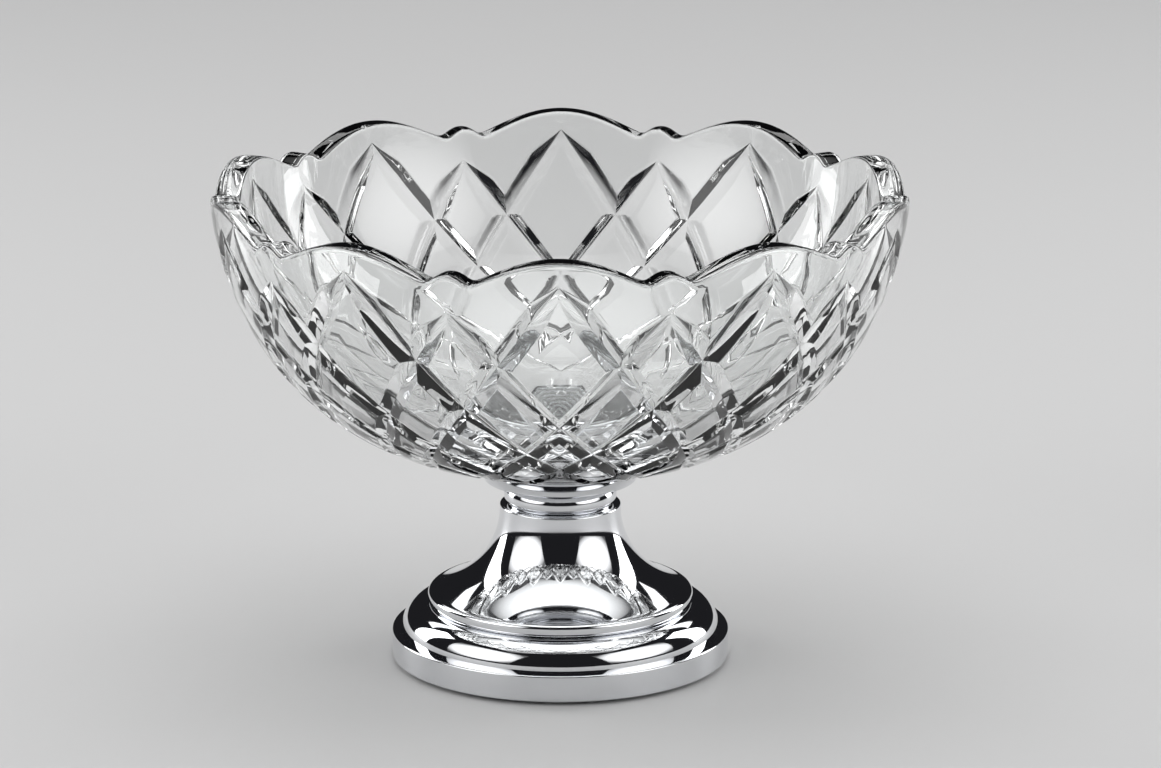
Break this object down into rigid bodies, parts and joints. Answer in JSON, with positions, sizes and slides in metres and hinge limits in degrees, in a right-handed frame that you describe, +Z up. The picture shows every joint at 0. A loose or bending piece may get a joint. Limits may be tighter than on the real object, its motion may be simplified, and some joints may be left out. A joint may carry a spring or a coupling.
{
  "type": "footed fruit bowl",
  "caption": "Round cut-glass fruit bowl with a scalloped rim and diamond mitre cuts, on a turned chromed pedestal foot with a stepped round base.",
  "frame": {"origin": "middle of the felt pad's underside, on the surface that the bowl stands on", "axes": "+Z up the axis of the bowl; one rim crest faces -Y and another +Y, and rim beads lie on +X and -X"},
  "size_m": [0.2486, 0.2498, 0.1762],
  "materials": {
    "cut_glass": "polished clear",
    "clear_bond": "clear cured adhesive",
    "chrome_plate": "mirror polished",
    "zinc_steel": "zinc plated",
    "hardboard": "plain hardboard",
    "felt": "dark felt"
  },
  "bodies": {
    "root": {"glass_bowl": "cut_glass", "bond_layer": "clear_bond", "bowl_dish": "chrome_plate", "neck_ring": "chrome_plate", "trumpet_stem": "chrome_plate", "stepped_base": "chrome_plate", "tie_rod": "zinc_steel", "flat_washer": "zinc_steel", "lock_washer": "zinc_steel", "rod_nut": "zinc_steel", "base_cover": "hardboard", "felt_pad": "felt"}
  },
  "joints": []
}
